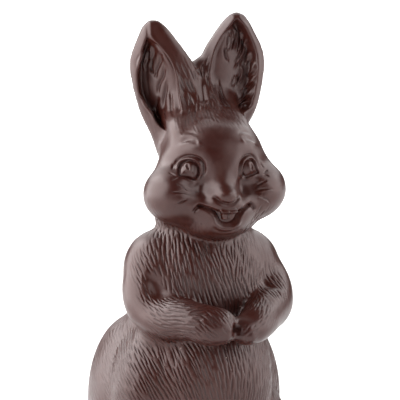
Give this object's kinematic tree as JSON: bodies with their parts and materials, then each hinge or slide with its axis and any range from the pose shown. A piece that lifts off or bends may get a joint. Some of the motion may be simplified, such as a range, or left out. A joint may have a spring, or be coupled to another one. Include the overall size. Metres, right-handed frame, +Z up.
{
  "type": "chocolate easter bunny",
  "caption": "Moulded dark chocolate rabbit sitting upright with paws held together, tall dished ears, a smiling face and incised fur.",
  "frame": {"origin": "on the flat underside, below the middle of the bounding box", "axes": "+Z up to the ear tips; the bunny faces -Y, so +X is the side of its left paw; it stands on z = 0"},
  "size_m": [0.0942, 0.1236, 0.24],
  "materials": {
    "dark_chocolate": "satin moulded chocolate, roughness about 0.38"
  },
  "bodies": {
    "root": {"chocolate_bunny": "dark_chocolate"}
  },
  "joints": []
}
